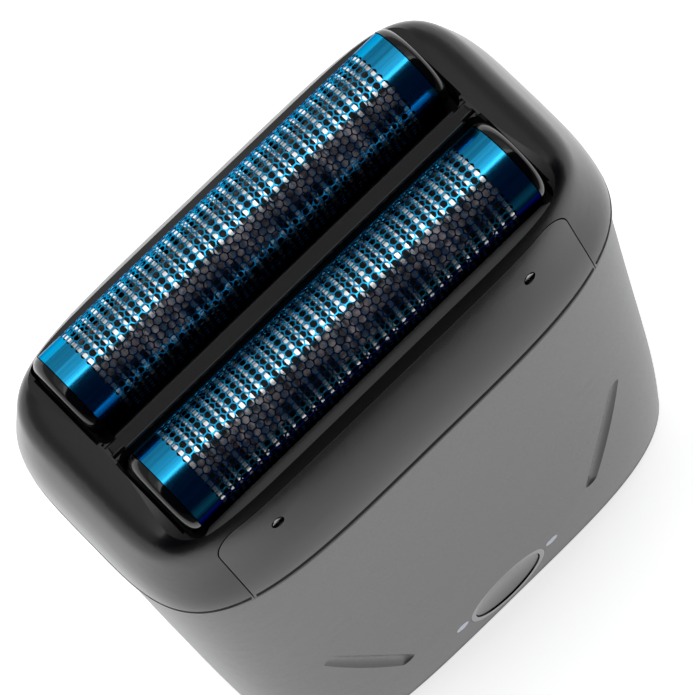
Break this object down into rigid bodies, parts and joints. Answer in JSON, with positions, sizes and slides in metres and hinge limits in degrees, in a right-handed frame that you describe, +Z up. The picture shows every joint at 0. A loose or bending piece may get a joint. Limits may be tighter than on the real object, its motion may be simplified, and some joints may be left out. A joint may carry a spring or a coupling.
{
  "type": "foil shaver",
  "caption": "Upright electric foil shaver: rounded flat body, lift-off head with floating curved foils over oscillating arched blades, push button low on the front.",
  "frame": {"origin": "bottom centre of the shaver, on the surface it stands on", "axes": "+Z up from the base to the foils, +X along the foils, front with the power button facing -Y"},
  "size_m": [0.0638, 0.036, 0.1104],
  "materials": {
    "head_plastic": "satin moulded, fine grain",
    "panel_plastic": "satin moulded, fine grain",
    "body_plastic": "satin moulded, fine grain",
    "inner_plastic": "moulded",
    "gloss_cap": "polished",
    "blue_foil": "blue coated",
    "blade_steel": "ground",
    "cutter_plastic": "moulded",
    "dark_steel": "blackened",
    "spring_steel": "drawn wire",
    "acetal": "moulded",
    "seal_rubber": "soft",
    "copper_winding": "enamelled",
    "motor_steel": "plated",
    "ferrite": "sintered",
    "screw_steel": "plated",
    "brass_spacer": "turned",
    "cell_wrap": "shrink sleeve",
    "nickel": "strip",
    "board_green": "solder mask",
    "chip_black": "moulded",
    "button_plastic": "satin",
    "button_ring_metal": "dark polished",
    "light_lens": "frosted lens",
    "socket_metal": "plated",
    "pad_rubber": "matte"
  },
  "bodies": {
    "housing": {"front_shell": "body_plastic", "rear_shell": "body_plastic", "base_cap": "body_plastic", "base_pad": "pad_rubber", "top_deck": "inner_plastic", "deck_gasket": "seal_rubber", "deck_posts": "brass_spacer", "deck_screws": "screw_steel", "drive_guides": "inner_plastic", "drive_seals": "seal_rubber", "motor_can": "motor_steel", "motor_magnets": "ferrite", "motor_end_cap": "inner_plastic", "motor_bracket": "motor_steel", "motor_screws": "screw_steel", "chassis": "inner_plastic", "battery_cell": "cell_wrap", "battery_tabs": "nickel", "circuit_board": "board_green", "board_parts": "chip_black", "tact_switch": "chip_black", "button_ring": "button_ring_metal", "status_lights": "light_lens", "charge_socket": "socket_metal", "socket_board": "board_green"},
    "head": {"head_hood": "head_plastic", "front_head_panel": "panel_plastic", "rear_head_panel": "panel_plastic", "panel_pins": "dark_steel", "foil_cassette": "inner_plastic"},
    "front_foil_unit": {"front_foil": "blue_foil", "front_foil_end_caps": "gloss_cap", "front_foil_frame": "inner_plastic", "front_foil_springs": "spring_steel"},
    "rear_foil_unit": {"rear_foil": "blue_foil", "rear_foil_end_caps": "gloss_cap", "rear_foil_frame": "inner_plastic", "rear_foil_springs": "spring_steel"},
    "front_oscillator": {"front_drive_link": "acetal", "front_cutter_spring": "spring_steel"},
    "rear_oscillator": {"rear_drive_link": "acetal", "rear_cutter_spring": "spring_steel"},
    "front_cutter": {"front_cutter_blades": "blade_steel", "front_cutter_core": "cutter_plastic"},
    "rear_cutter": {"rear_cutter_blades": "blade_steel", "rear_cutter_core": "cutter_plastic"},
    "rotor": {"motor_shaft": "spring_steel", "motor_rotor": "copper_winding", "eccentric_cam": "acetal"},
    "button": {"power_button": "button_plastic"}
  },
  "joints": [
    {"name": "head_lift", "type": "slide", "parent": "housing", "child": "head", "axis": [0, 0, 1], "range_m": [0, 0.03]},
    {"name": "front_foil_float", "type": "slide", "parent": "head", "child": "front_foil_unit", "axis": [0, 0, -1], "range_m": [0, 0.0012], "stiffness_N_per_m": 400, "deforming": ["front_foil_springs"]},
    {"name": "rear_foil_float", "type": "slide", "parent": "head", "child": "rear_foil_unit", "axis": [0, 0, -1], "range_m": [0, 0.0012], "stiffness_N_per_m": 400, "deforming": ["rear_foil_springs"]},
    {"name": "front_cutter_slide", "type": "slide", "parent": "housing", "child": "front_oscillator", "axis": [1, 0, 0], "range_m": [-0.0012, 0.0012], "stiffness_N_per_m": 300},
    {"name": "rear_cutter_slide", "type": "slide", "parent": "housing", "child": "rear_oscillator", "axis": [1, 0, 0], "range_m": [-0.0012, 0.0012], "stiffness_N_per_m": 300},
    {"name": "front_cutter_float", "type": "slide", "parent": "front_oscillator", "child": "front_cutter", "axis": [0, 0, -1], "range_m": [0, 0.0012], "stiffness_N_per_m": 300, "deforming": ["front_cutter_spring"]},
    {"name": "rear_cutter_float", "type": "slide", "parent": "rear_oscillator", "child": "rear_cutter", "axis": [0, 0, -1], "range_m": [0, 0.0012], "stiffness_N_per_m": 300, "deforming": ["rear_cutter_spring"]},
    {"name": "motor_spin", "type": "hinge", "parent": "housing", "child": "rotor", "pos_m": [0, 0, 0.0755], "axis": [0, 0, 1], "continuous": true},
    {"name": "power_press", "type": "slide", "parent": "housing", "child": "button", "axis": [0, 1, 0], "range_m": [0, 0.0006], "stiffness_N_per_m": 900}
  ],
  "couplings": [
    {"joint": "rear_cutter_slide", "follows": "front_cutter_slide", "ratio": -1},
    {"joint": "front_cutter_float", "follows": "front_foil_float", "ratio": 1},
    {"joint": "rear_cutter_float", "follows": "rear_foil_float", "ratio": 1}
  ]
}
